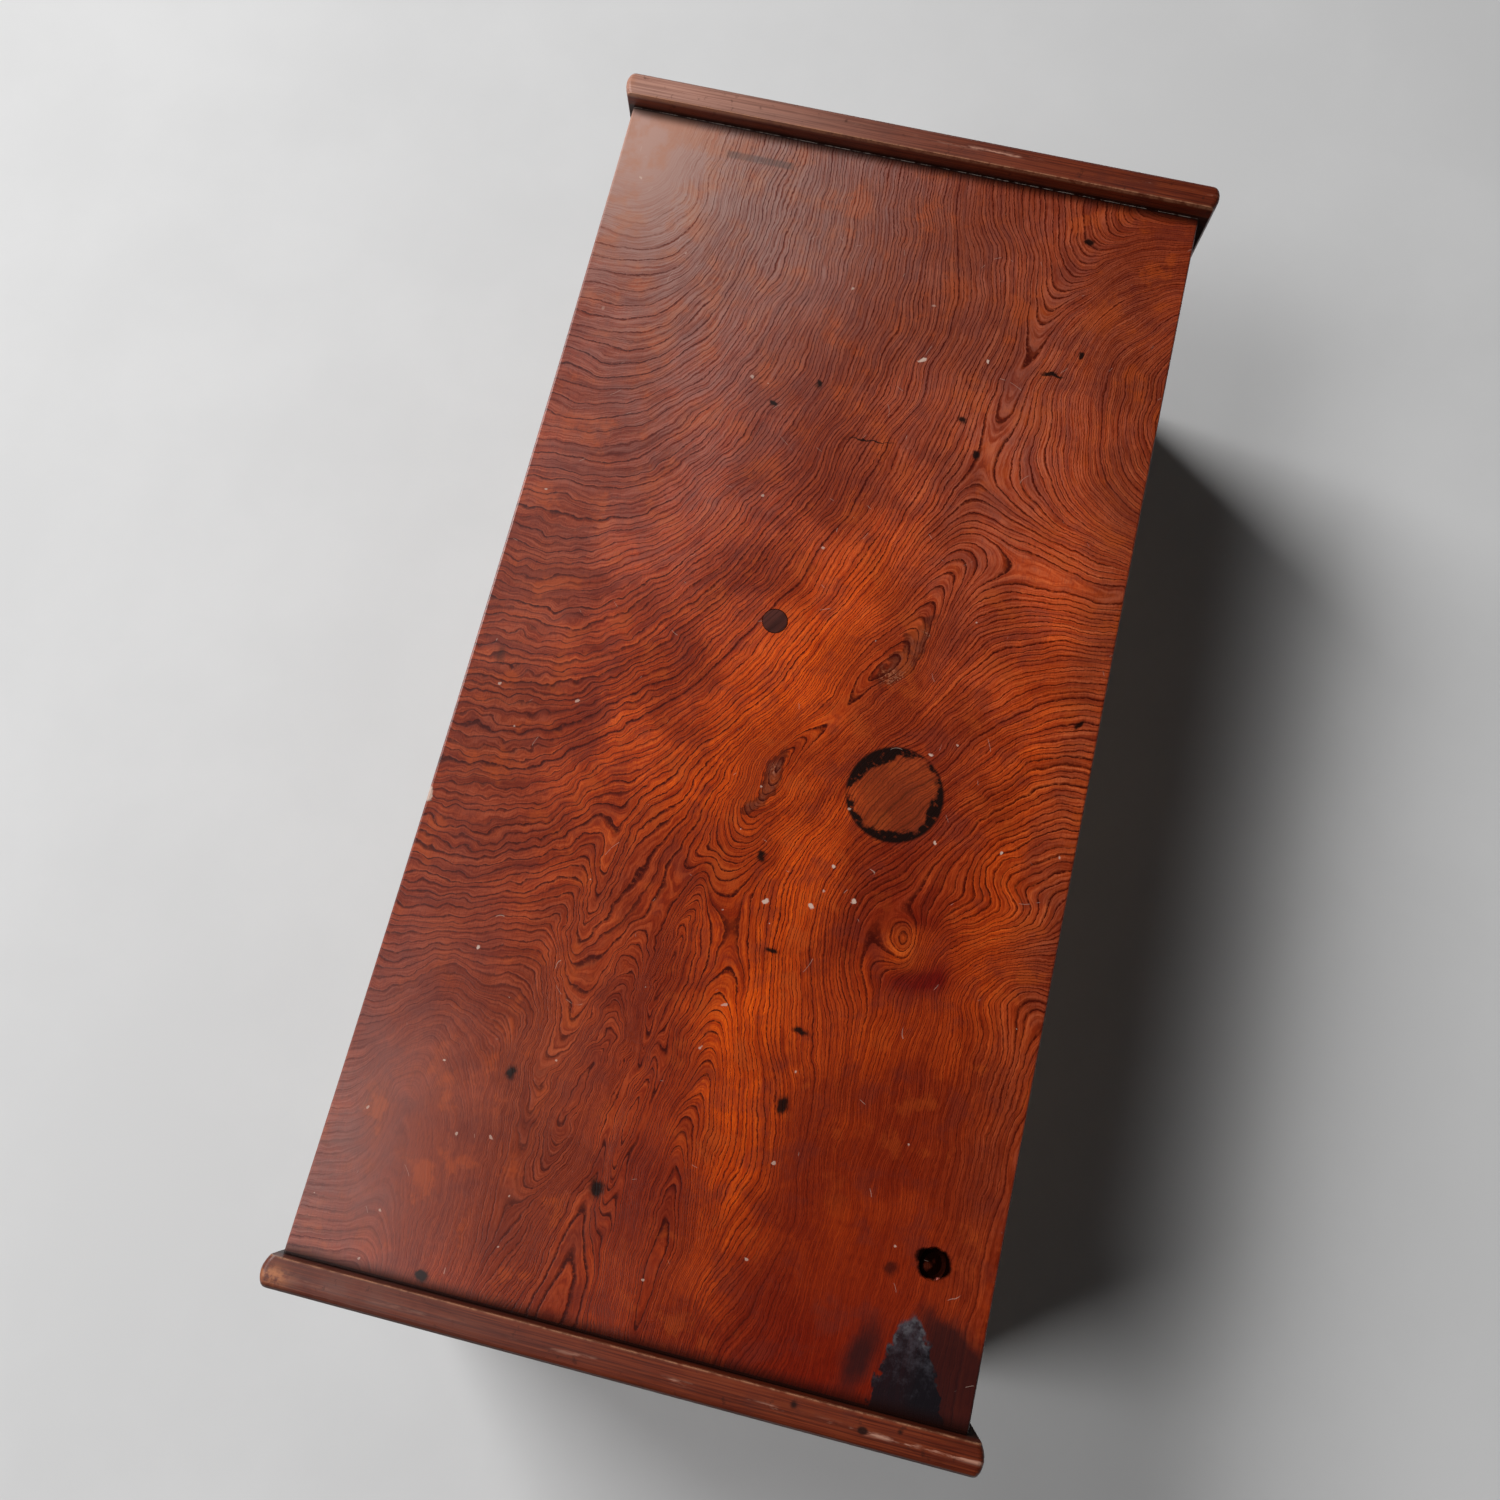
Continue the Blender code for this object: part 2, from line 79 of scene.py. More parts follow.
def span(tree, value, low, high, start=0.0, end=1.0):
    """Maps a value from low..high to start..end along a smooth step."""
    return node(tree, "MapRange", value, low, high, start, end, interpolation_type="SMOOTHSTEP").outputs[0]


def lay(tree, share, under, over, how="MIX"):
    """Lays one colour over another by a share."""
    made = node(tree, "Mix", data_type="RGBA", blend_type=how)
    for index, value in ((0, share), (6, under), (7, over)):
        if isinstance(value, bpy.types.NodeSocket):
            tree.links.new(value, made.inputs[index])
        else:
            made.inputs[index].default_value = (*value, 1.0) if index else value
    return made.outputs[2]


def new_finish(name):
    """A new material, with its node tree and its shader."""
    made = bpy.data.materials.new(name)
    made.use_nodes = True
    return made, made.node_tree, made.node_tree.nodes["Principled BSDF"]


black, backdrop = (0.0, 0.0, 0.0), (0.61, 0.61, 0.61)
fade_start, fade_end = 1.3, 3.4
floor_finish, tree, shader = new_finish("pale_floor")
place = node(tree, "TexCoord").outputs["Object"]
mottle = span(tree, noise(tree, place, 3.0, 6.0, 0.6), 0.3, 0.7)
tone = lay(tree, mottle, (0.60, 0.60, 0.60), (0.63, 0.63, 0.63))
far_off = node(tree, "VectorMath", place, operation="LENGTH").outputs["Value"]
seen = node(tree, "LightPath").outputs["Is Camera Ray"]
far_off = times(tree, span(tree, far_off, fade_start, fade_end), seen)
tree.links.new(lay(tree, far_off, tone, black), shader.inputs["Base Color"])
tree.links.new(lay(tree, far_off, black, backdrop), shader.inputs["Emission Color"])
shader.inputs["Emission Strength"].default_value = 1.0
shader.inputs["Roughness"].default_value = 0.75
floor.data.materials.append(floor_finish)


# Lamps: two square soft lamps stand in front, the far one stronger, and a weak one behind opens the shadow.
# The room round them is dim, and pale only where the camera looks straight at it.
lamp_aim = Vector((0.0, 0.0, 0.2))
for name, place, size, power in (
    ("far_front_lamp", (-1.92, -3.54, 4.02), (2.1, 2.1), 266.0),
    ("near_front_lamp", (1.35, -2.4, 3.9), (1.8, 1.8), 98.0),
    ("back_lamp", (1.05, 3.9, 2.4), (3.3, 2.1), 4.0),
):
    bpy.ops.object.light_add(type="AREA", location=place)
    lamp = bpy.context.object
    lamp.name = name
    lamp.rotation_euler = (lamp_aim - Vector(place)).to_track_quat("-Z", "Y").to_euler()
    lamp.data.shape = "RECTANGLE"
    lamp.data.size, lamp.data.size_y = size
    lamp.data.energy = power

room = bpy.data.worlds.new("soft_room")
room.use_nodes = True
tree = room.node_tree
dim_room, pale_room = (0.019, 0.0195, 0.020), (0.62, 0.62, 0.62)
seen = node(tree, "LightPath").outputs["Is Camera Ray"]
tree.links.new(lay(tree, seen, dim_room, pale_room), tree.nodes["Background"].inputs["Color"])
bpy.context.scene.world = room


# End panels: two zelkova planks with the grain front to back, which carry the board and the case in housings.
# The top of each is moulded as a brush stop. Wiped red-brown lacquer, dulled along the front and rubbed
# through on the crest, on the inner arris and at the tips. A sheen is painted along the front, a highlight on
# the far stop's front tip, and shade on the outer rim and where the board comes in.


def new_group(name, inputs, outputs):
    """An empty node group with its sockets, and the nodes that stand for its inputs and outputs."""
    made = bpy.data.node_groups.new(name, "ShaderNodeTree")
    for socket, kind in inputs.items():
        made.interface.new_socket(name=socket, in_out="INPUT", socket_type="NodeSocket" + kind)
    for socket, kind in outputs.items():
        made.interface.new_socket(name=socket, in_out="OUTPUT", socket_type="NodeSocket" + kind)
    return made, made.nodes.new("NodeGroupInput").outputs, made.nodes.new("NodeGroupOutput").inputs


def use_group(tree, group, **feeds):
    """Places a node group in a material, with its own values."""
    made = tree.nodes.new("ShaderNodeGroup")
    made.node_tree = group
    for name, value in feeds.items():
        if isinstance(value, bpy.types.NodeSocket):
            tree.links.new(value, made.inputs[name])
        else:
            made.inputs[name].default_value = value
    return made.outputs


def drawn_noise(tree, place, stretch, detail, roughness, flat=False):
    """Noise drawn out along a plank: the smaller a number of the stretch, the longer it runs that way."""
    drawn = node(tree, "Mapping", place, Scale=stretch).outputs[0]
    return noise(tree, drawn, 1.0, detail, roughness, flat)


# Growth layers round a heart that runs along X: dark porous lines, fibre along the plank, and drifting tone
sawn_grain, given, out = new_group(
    "sawn_grain",
    {"Place": "Vector", "Spacing": "Float", "Wander": "Float"},
    {"Line": "Float", "Fibre": "Float", "Cloud": "Float"},
)
across = node(sawn_grain, "VectorMath", given["Place"], (0.0, 1.0, 1.0), operation="MULTIPLY").outputs[0]
radius = node(sawn_grain, "VectorMath", across, operation="LENGTH").outputs["Value"]
drift = drawn_noise(sawn_grain, given["Place"], (0.0035, 0.02, 0.02), 2.0, 0.5)
drift = number(sawn_grain, "SUBTRACT", drift, 0.5)
layers = number(sawn_grain, "DIVIDE", radius, given["Spacing"])
layers = number(sawn_grain, "MULTIPLY_ADD", drift, given["Wander"], layers)
ragged = drawn_noise(sawn_grain, given["Place"], (0.05, 0.4, 0.4), 2.0, 0.6)
ragged = number(sawn_grain, "SUBTRACT", ragged, 0.5)
layers = number(sawn_grain, "MULTIPLY_ADD", ragged, 0.5, layers)
step = number(sawn_grain, "FRACT", layers)
year = number(sawn_grain, "FLOOR", layers)
luck = node(sawn_grain, "TexWhiteNoise", noise_dimensions="1D", W=year).outputs[0]
early = span(sawn_grain, step, 0.0, 0.42, 1.0, 0.0)
late = span(sawn_grain, step, 0.86, 1.0)
line = times(sawn_grain, number(sawn_grain, "MAXIMUM", early, late), span(sawn_grain, luck, -0.4, 1.0))
sawn_grain.links.new(line, out["Line"])
fibre = drawn_noise(sawn_grain, given["Place"], (0.06, 1.5, 1.5), 3.0, 0.6)
sawn_grain.links.new(fibre, out["Fibre"])
cloud = drawn_noise(sawn_grain, given["Place"], (0.008, 0.02, 0.02), 3.0, 0.55)
sawn_grain.links.new(cloud, out["Cloud"])

# A soft hill over a flat place, added to what lies under it: 1/e is left at its half length and half width
fall_share = 0.3679
soft_hill, given, out = new_group(
    "soft_hill",
    {
        "Place": "Vector", "Middle": "Vector", "Along": "Vector", "Across": "Vector",
        "Height": "Float", "Under": "Float",
    },
    {"Sum": "Float"},
)
apart = node(soft_hill, "VectorMath", given["Place"], given["Middle"], operation="SUBTRACT").outputs[0]
along = node(soft_hill, "VectorMath", apart, given["Along"], operation="DOT_PRODUCT").outputs["Value"]
across = node(soft_hill, "VectorMath", apart, given["Across"], operation="DOT_PRODUCT").outputs["Value"]
away = number(soft_hill, "MULTIPLY_ADD", along, along, times(soft_hill, across, across))
hill = number(soft_hill, "POWER", fall_share, away)
hill = number(soft_hill, "MULTIPLY_ADD", hill, given["Height"], given["Under"])
soft_hill.links.new(hill, out["Sum"])


def pile(tree, place, hills, under=0.0):
    """Adds soft hills of (x, y, half length, half width, turn in degrees, height) to a value."""
    for x, y, length, width, turn, height in hills:
        east, north = math.cos(math.radians(turn)), math.sin(math.radians(turn))
        under = use_group(
            tree, soft_hill, Place=place, Middle=(x, y, 0.0), Along=(east / length, north / length, 0.0),
            Across=(-north / width, east / width, 0.0), Height=height, Under=under,
        )["Sum"]
    return under


def ridge(tree, away, width):
    """A soft ridge along the places where a distance is near 0."""
    away = number(tree, "DIVIDE", away, width)
    return number(tree, "POWER", fall_share, times(tree, away, away))


def raise_grain(tree, shader, relief, strength):
    """Lets the relief of the grain catch the light."""
    tree.links.new(node(tree, "Bump", strength, 0.0004, Height=relief).outputs[0], shader.inputs["Normal"])


# The heart of each plank runs front to back, outside its outer face and some way up from the floor
to_mm = (1000.0, 1000.0, 1000.0)
quarter_turn = (0.0, 0.0, -math.pi / 2)
heart_out, heart_up = 500.0, 120.0
panel_finish, tree, shader = new_finish("panel_lacquer")
place = node(tree, "TexCoord").outputs["Object"]
at = node(tree, "SeparateXYZ", place).outputs
turned = node(tree, "Mapping", place, Location=(0.0, 0.0, -heart_up), Rotation=quarter_turn, Scale=to_mm)
plank_at = node(tree, "SeparateXYZ", turned.outputs[0]).outputs
outward = number(tree, "SUBTRACT", number(tree, "ABSOLUTE", plank_at["Y"]), heart_out)
plank = node(tree, "CombineXYZ", plank_at["X"], outward, plank_at["Z"]).outputs[0]
grain = use_group(tree, sawn_grain, Place=plank, Spacing=4.2, Wander=7.0)
streak = drawn_noise(tree, plank, (0.012, 0.9, 0.9), 3.0, 0.6)
stained = noise(tree, place, 32.0, 5.0, 0.62, False)
deep_red, light_red = (0.080, 0.0095, 0.0035), (0.140, 0.021, 0.007)
pale_streak, dark_streak = (0.205, 0.040, 0.012), (0.036, 0.005, 0.002)
layer_line, old_stain, pale_fibre = (0.030, 0.004, 0.002), (0.060, 0.010, 0.007), (0.215, 0.044, 0.015)
tone = lay(tree, span(tree, grain["Cloud"], 0.3, 0.7), deep_red, light_red)
tone = lay(tree, span(tree, streak, 0.44, 0.66, 0.0, 0.6), tone, pale_streak)
tone = lay(tree, span(tree, streak, 0.50, 0.30, 0.0, 0.8), tone, dark_streak)
tone = lay(tree, times(tree, grain["Line"], 0.5), tone, layer_line)
tone = lay(tree, span(tree, stained, 0.50, 0.68, 0.0, 0.5), tone, old_stain)
tone = lay(tree, span(tree, grain["Fibre"], 0.38, 0.75, 0.0, 0.3), tone, pale_fibre)

# Millimetres along each brush stop from its front tip: dulled, with a painted sheen, along the front half,
# and a painted pale highlight at the front tip of the far stop
panel_face, front_tip = 0.430, 227.0
dull_film_and_sheen, highlight_pink = (0.130, 0.054, 0.041), (0.46, 0.245, 0.185)
stop = node(tree, "Mapping", place, Location=(0.0, front_tip, 0.0), Scale=(1000.0, 1000.0, 0.0)).outputs[0]
from_face = number(tree, "SUBTRACT", number(tree, "ABSOLUTE", at["X"]), panel_face)
on_top = span(tree, at["Z"], 0.3185, 0.3235)
# Dulled film and painted sheen: paler and pinker along the front half of each stop
dulled_and_sheen = pile(tree, stop, ((440, 30, 40, 140, 0, 0.62), (-440, 90, 40, 190, 0, 0.36)))
tone = lay(tree, times(tree, dulled_and_sheen, span(tree, stained, 0.64, 0.38, 0.45, 1.0)), tone, dull_film_and_sheen)
# Painted highlight: the top of the far stop paler towards its front tip
far_tip_highlight = pile(tree, stop, ((-440, -15, 40, 170, 0, 0.95),))
far_tip_highlight = times(tree, far_tip_highlight, on_top, span(tree, streak, 0.34, 0.6, 0.55, 1.0))
tone = lay(tree, far_tip_highlight, tone, highlight_pink)

# Rubbed places: scratches along the crest, the inner arris, and bare patches at the front tips
crest_line, crest_width, arris_width = 0.0100, 0.0013, 0.0007
scratched_wood, rubbed_wood, bare_wood = (0.52, 0.27, 0.19), (0.42, 0.19, 0.10), (0.46, 0.165, 0.065)
patchy = drawn_noise(tree, place, (160.0, 22.0, 160.0), 5.0, 0.7)
spotty = noise(tree, place, 150.0, 4.0, 0.65, False)
crest = times(
    tree, ridge(tree, number(tree, "SUBTRACT", from_face, crest_line), crest_width), on_top,
    span(tree, patchy, 0.52, 0.64), span(tree, at["Y"], -0.08, 0.06, 0.15, 0.75),
)
tone = lay(tree, crest, tone, scratched_wood)
arris = times(
    tree, ridge(tree, from_face, arris_width),
    span(tree, at["Z"], 0.3205, 0.3225), span(tree, spotty, 0.36, 0.60, 0.15, 0.75),
)
tone = lay(tree, arris, tone, rubbed_wood)
bare = pile(tree, stop, ((441, 9, 5, 9, 0, 1.0), (-440, 3, 7, 5, 0, 0.3)))
bare = times(tree, bare, on_top, span(tree, spotty, 0.36, 0.58))
tone = lay(tree, number(tree, "MINIMUM", bare, 0.8), tone, bare_wood)

# Dark marks: pits, three bruises on the right-hand stop, and painted shade on the outer rim and in the corner
# where the board comes in
pit, painted_rim_shade = (0.030, 0.007, 0.004), (0.024, 0.006, 0.004)
bruise = painted_joint_shade = (0.010, 0.003, 0.002)
tone = lay(tree, span(tree, spotty, 0.60, 0.72, 0.0, 0.55), tone, pit)
bruises = pile(
    tree, stop,
    ((435.4, 337, 2.8, 2.8, 0, 0.8), (439.4, 380, 2.4, 3.4, 0, 1.2), (434.8, 402, 2.2, 2.4, 0, 0.7)),
)
tone = lay(tree, span(tree, bruises, 0.2, 0.8, 0.0, 0.9), tone, bruise)
# Painted shade: the outer rounding of each top darker towards the outer face
rim = times(tree, span(tree, from_face, 0.0160, 0.0197, 0.0, 0.8), span(tree, at["Z"], 0.304, 0.314))
tone = lay(tree, rim, tone, painted_rim_shade)
# Painted shade at the foot of each inner face, in the corner where the board comes in
shade_and_dark_edges = times(tree, span(tree, at["Z"], 0.3150, 0.3105), span(tree, from_face, 0.002, 0.0), 0.85)
tone = lay(tree, shade_and_dark_edges, tone, painted_joint_shade)
tree.links.new(tone, shader.inputs["Base Color"])
shader.inputs["Specular IOR Level"].default_value = 0.24
tree.links.new(span(tree, stained, 0.3, 0.7, 0.37, 0.44), shader.inputs["Roughness"])
raise_grain(tree, shader, number(tree, "SUBTRACT", grain["Fibre"], grain["Line"]), 0.12)
for name in ("end_panel_left", "end_panel_right"):
    pieces[name].data.materials[0] = panel_finish


# Drawer case: front rail, back board and divider in the same lacquered zelkova, grain along the table.
# They stand between the end panels. The floor that the drawers run on is bare softwood, let into grooves
# of the panels and the back board, and darkened by age.


def sawn_tone(tree, grain, dark, pale, line, line_share):
    """Colour of a plank: it drifts from dark to pale under the lines of its growth layers."""
    tone = lay(tree, span(tree, grain["Cloud"], 0.3, 0.7), dark, pale)
    return lay(tree, times(tree, grain["Line"], line_share), tone, line)


case_finish, tree, shader = new_finish("case_lacquer")
place = node(tree, "TexCoord").outputs["Object"]
plank = node(tree, "Mapping", place, Location=(0.0, 260.0, -228.0), Scale=to_mm).outputs[0]
grain = use_group(tree, sawn_grain, Place=plank, Spacing=3.6, Wander=8.0)
case_red, case_orange = (0.13, 0.023, 0.0095), (0.22, 0.043, 0.013)
case_line, case_fibre = (0.040, 0.0075, 0.0045), (0.27, 0.066, 0.023)
tone = sawn_tone(tree, grain, case_red, case_orange, case_line, 0.8)
tone = lay(tree, span(tree, grain["Fibre"], 0.35, 0.75, 0.0, 0.25), tone, case_fibre)
tree.links.new(tone, shader.inputs["Base Color"])
tree.links.new(span(tree, grain["Cloud"], 0.3, 0.7, 0.46, 0.32), shader.inputs["Roughness"])
raise_grain(tree, shader, number(tree, "SUBTRACT", grain["Fibre"], grain["Line"]), 0.12)
for name in ("front_rail", "back_board", "centre_divider"):
    pieces[name].data.materials[0] = case_finish

bare_finish, tree, shader = new_finish("bare_softwood")
place = node(tree, "TexCoord").outputs["Object"]
plank = node(tree, "Mapping", place, Location=(0.0, 40.0, -120.0), Scale=to_mm).outputs[0]
grain = use_group(tree, sawn_grain, Place=plank, Spacing=5.0, Wander=6.0)
aged_straw, pale_straw = (0.33, 0.20, 0.105), (0.47, 0.32, 0.19)
straw_line, straw_fibre = (0.22, 0.115, 0.055), (0.55, 0.40, 0.25)
tone = sawn_tone(tree, grain, aged_straw, pale_straw, straw_line, 0.55)
tone = lay(tree, span(tree, grain["Fibre"], 0.35, 0.75, 0.0, 0.3), tone, straw_fibre)
tree.links.new(tone, shader.inputs["Base Color"])
shader.inputs["Roughness"].default_value = 0.7
raise_grain(tree, shader, number(tree, "SUBTRACT", grain["Fibre"], grain["Line"]), 0.2)
pieces["case_floor"].data.materials[0] = bare_finish


# Top board: one wide flat-sawn plank of old zelkova, tongued at both ends into the end panels.
# Its growth layers are cut into a contour map of lens, arches and eyes. Wiped lacquer, worn to orange
# down the middle, with a cup ring, ink, knots, specks and scratches of long use.
board_finish, tree, shader = new_finish("board_lacquer")
place = node(tree, "TexCoord").outputs["Object"]

# Millimetres over the board from its far front corner, and below its face
board_length, board_depth = 860.0, 441.0
to_corner = (430.0, 222.0, -310.0)
board = node(tree, "Mapping", place, Location=to_corner, Scale=to_mm).outputs[0]
below = node(tree, "SeparateXYZ", board).outputs["Z"]
flat = node(tree, "VectorMath", board, (1.0, 1.0, 0.0), operation="MULTIPLY").outputs[0]
over = node(tree, "SeparateXYZ", flat).outputs


def waver(tree, place, scale, detail, roughness=0.5):
    """A noise that shifts a place, by up to half a unit each way."""
    shift = node(
        tree, "TexNoise", place, noise_dimensions="2D", Scale=scale, Detail=detail, Roughness=roughness
    ).outputs["Color"]
    return node(tree, "VectorMath", shift, (0.5, 0.5, 0.5), operation="SUBTRACT").outputs[0]


def shifted(tree, place, shift, size):
    """A place shifted by a waver times a size."""
    return node(tree, "VectorMath", shift, (size, size, 0.0), place, operation="MULTIPLY_ADD").outputs[0]


# The layers are not smooth: a slow wander, a ripple that is strongest along the front, and a ragged edge
ripple_size = pile(
    tree, flat,
    ((500, 20, 190, 110, 0, 10.0), (660, 160, 130, 50, -10, 5.0), (490, 400, 90, 50, 0, 3.0)),
    2.4,
)
bent = flat
for shift, size in (
    (waver(tree, flat, 0.016, 1.0), 16.0),
    (waver(tree, flat, 0.07, 1.0), ripple_size),
    (waver(tree, flat, 0.36, 1.0, 0.6), 1.0),
):
    shift = node(tree, "VectorMath", shift, operation="SCALE", Scale=size).outputs[0]
    bent = node(tree, "VectorMath", bent, shift, operation="ADD").outputs[0]
bent = node(tree, "VectorMath", bent, (1.0, 1.0, 0.0), operation="MULTIPLY").outputs[0]


def rounded(tree, x, y, power):
    """Distance from a corner by rounded squares: the higher the power, the squarer."""
    both = number(tree, "ADD", number(tree, "POWER", x, power), number(tree, "POWER", y, power))
    return number(tree, "POWER", both, number(tree, "DIVIDE", 1.0, power))


def ramp_below(tree, value, edge, blend):
    """How far a value lies below an edge, and softly 0 above it."""
    return number(tree, "SMOOTH_MAX", number(tree, "SUBTRACT", edge, value), 0.0, blend)


# Layers rise from the far front corner, level out on a shelf, and fall to the near back and to the far back
at = node(tree, "SeparateXYZ", bent).outputs
along = number(tree, "MAXIMUM", at["X"], 1.0)
square = number(tree, "MULTIPLY_ADD", along, 0.513, at["Y"])
square = node(tree, "MapRange", square, 150.0, 380.0, 3.0, 1.9).outputs[0]
front = number(tree, "SUBTRACT", at["Y"], 15.0)
front = number(tree, "SMOOTH_MAX", front, times(tree, front, -1.0), 14.0)
rise = rounded(tree, number(tree, "DIVIDE", along, 195.0), number(tree, "DIVIDE", front, 100.0), square)
rise = number(tree, "MULTIPLY_ADD", rise, 30.0, -26.0)
shelf = number(tree, "MULTIPLY_ADD", ramp_below(tree, at["Y"], 150.0, 60.0), 0.5, 62.0)
shelf = number(tree, "MULTIPLY_ADD", ramp_below(tree, along, 560.0, 160.0), 0.2, shelf)
back = number(tree, "MAXIMUM", number(tree, "SUBTRACT", along, 600.0), 0.0)
back = number(tree, "MULTIPLY_ADD", back, 0.05, at["Y"])
back = number(tree, "MULTIPLY_ADD", back, 0.32, -142.4)
near = times(tree, number(tree, "MINIMUM", number(tree, "SUBTRACT", along, 650.0), 0.0), 0.19)
fall = node(tree, "CombineXYZ", near, back, 3.0).outputs[0]
fall = number(tree, "ADD", node(tree, "VectorMath", fall, operation="LENGTH").outputs["Value"], 5.0)
far = number(tree, "DIVIDE", number(tree, "ABSOLUTE", number(tree, "SUBTRACT", along, 150.0)), 1.2)
far_fall = rounded(tree, far, number(tree, "ABSOLUTE", number(tree, "SUBTRACT", at["Y"], 480.0)), 3.0)
far_fall = number(tree, "MULTIPLY_ADD", far_fall, 0.30, 30.0)
far_fall = number(tree, "MULTIPLY_ADD", ramp_below(tree, along, 110.0, 80.0), 0.2, far_fall)
crest = number(tree, "SMOOTH_MIN", number(tree, "SMOOTH_MIN", rise, shelf, 16.0), fall, 24.0)
layers = pile(
    tree, bent,
    (
        (435, 262, 150, 26, -27, 10.0),  # long lens beside the cup ring
        (395, 296, 44, 13, -27, 4.0),  # its two dark hearts
        (490, 231, 32, 11, -27, 4.0),
        (600, 132, 60, 11, -8, -5.0),  # tongue above the arches
        (715, 159, 95, 19, -9, 18.0),  # arches up the near front
        (640, 190, 70, 8, -10, -5.0),  # crease under the arches
        (735, 191, 55, 7, -4, 7.0),  # small eyes on the crease
        (825, 230, 195, 28, 0, 24.0),  # belly of the cathedral
        (740, 285, 95, 34, 6, 12.0),  # its lower side
        (735, 52, 60, 24, 0, 9.0),  # eye in the near front corner
        (562, 300, 60, 36, 0, -7.0),  # arch over the grown-over branch
        (580, 341, 20, 16, 0, 6.0),  # swirl round the branch
        (550, 402, 22, 45, 0, 6.0),  # pinch below the swirl
        (598, 398, 22, 45, 0, -6.0),
        (0, 290, 70, 70, 0, 10.0),  # rise at the far end
        (305, 441, 34, 75, 0, 6.5),  # level crests, so that the lines run beside them
        (265, 338, 70, 30, 0, -6.0),
    ),
    number(tree, "SMOOTH_MIN", crest, far_fall, 14.0),
)
layers = number(tree, "MULTIPLY_ADD", below, 0.45, layers)

# Uneven years: each layer has its own width and darkness, and starts with a sharp row of pores
uneven = node(tree, "TexNoise", noise_dimensions="1D", W=layers, Scale=0.6, Detail=1.0).outputs[0]
layers = number(tree, "MULTIPLY_ADD", uneven, 0.8, times(tree, layers, 1.12))
step = number(tree, "FRACT", layers)
year = number(tree, "FLOOR", layers)
luck = node(tree, "TexWhiteNoise", noise_dimensions="1D", W=year).outputs[0]
thin = pile(
    tree, flat,
    (
        (660, 235, 80, 28, 0, 0.4), (640, 165, 60, 18, -9, 0.35),
        (420, 275, 110, 16, -27, 0.2), (250, 338, 60, 14, 0, 0.5),
    ),
)
width = number(tree, "SUBTRACT", 1.0, thin)
early = span(tree, number(tree, "DIVIDE", step, width), 0.05, 0.35, 1.0, 0.0)
pores = number(tree, "MAXIMUM", early, span(tree, step, 0.95, 1.0))
pores = times(tree, pores, span(tree, luck, -0.9, 0.5))

# Where the layers lie close each has two lines, along the far front every other one is weak, and some fade
half_step = number(tree, "FRACT", times(tree, layers, 2.0))
half_early = span(tree, half_step, 0.08, 0.5, 0.8, 0.0)
half_pores = number(tree, "MAXIMUM", half_early, span(tree, half_step, 0.9, 1.0, 0.0, 0.8))
fine = pile(
    tree, flat,
    (
        (750, 100, 110, 45, -6, 0.8), (760, 365, 150, 60, 0, 0.8),
        (130, 395, 170, 50, 0, 0.7), (470, 350, 70, 30, -20, 0.6),
    ),
)
pores = node(tree, "MapRange", fine, 0.0, 1.0, pores, half_pores).outputs[0]
coarse = number(tree, "MINIMUM", pile(tree, flat, ((180, 40, 260, 70, 0, 0.9),)), 0.9)
odd = times(tree, number(tree, "FRACT", times(tree, year, 0.5)), 2.0)
pores = times(tree, pores, number(tree, "SUBTRACT", 1.0, times(tree, odd, coarse)))
faint = pile(
    tree, flat,
    (
        (30, 20, 90, 48, 0, 1.0), (90, 170, 140, 130, 0, 0.15),
        (775, 55, 110, 66, 0, 0.9), (800, 365, 140, 75, 0, 0.6),
    ),
)
faint = number(tree, "MINIMUM", faint, 1.0)
broken = span(tree, noise(tree, flat, 0.3, 3.0, 0.7), 0.3, 0.52, 0.5, 1.0)
pores = times(tree, pores, broken, number(tree, "SUBTRACT", 1.0, faint))
clear = number(tree, "MULTIPLY_ADD", faint, -0.8, 1.0)
fibre_place = node(
    tree, "CombineXYZ", times(tree, layers, 7.0), times(tree, at["X"], 0.04), times(tree, at["Y"], 0.04)
).outputs[0]
fibre = noise(tree, fibre_place, 1.0, 3.0, 0.65, False)

# Colour under the lacquer: red-brown at the far end, orange down the middle, deep red near the back
wine_red, orange, dark_red = (0.215, 0.020, 0.0030), (0.64, 0.068, 0.0), (0.125, 0.0015, 0.0)
branch_wood, old_brown = (0.44, 0.078, 0.010), (0.225, 0.048, 0.017)
cloud = noise(tree, flat, 0.012, 5.0, 0.62)
glow = pile(
    tree, flat,
    (
        (570, 238, 150, 55, -20, 0.44), (715, 258, 95, 36, 8, 0.54), (420, 228, 110, 40, -27, 0.60),
        (335, 258, 60, 30, -27, 0.35), (525, 180, 45, 30, -20, 0.30), (690, 332, 110, 26, 0, 0.30),
        (545, 115, 110, 36, -8, 0.30), (427, 110, 60, 40, 0, 0.22), (300, 105, 110, 30, -10, 0.18),
        (420, 405, 200, 38, 0, 0.60), (580, 338, 14, 12, 0, 0.55), (190, 345, 190, 80, 0, 0.34),
        (330, 195, 120, 60, -20, 0.22), (400, 335, 80, 40, -20, 0.22), (60, 335, 70, 40, 0, 0.16),
    ),
    span(tree, cloud, 0.36, 0.64, -0.22, 0.20),
)
tone = lay(tree, span(tree, glow, -0.1, 1.0), wine_red, orange)
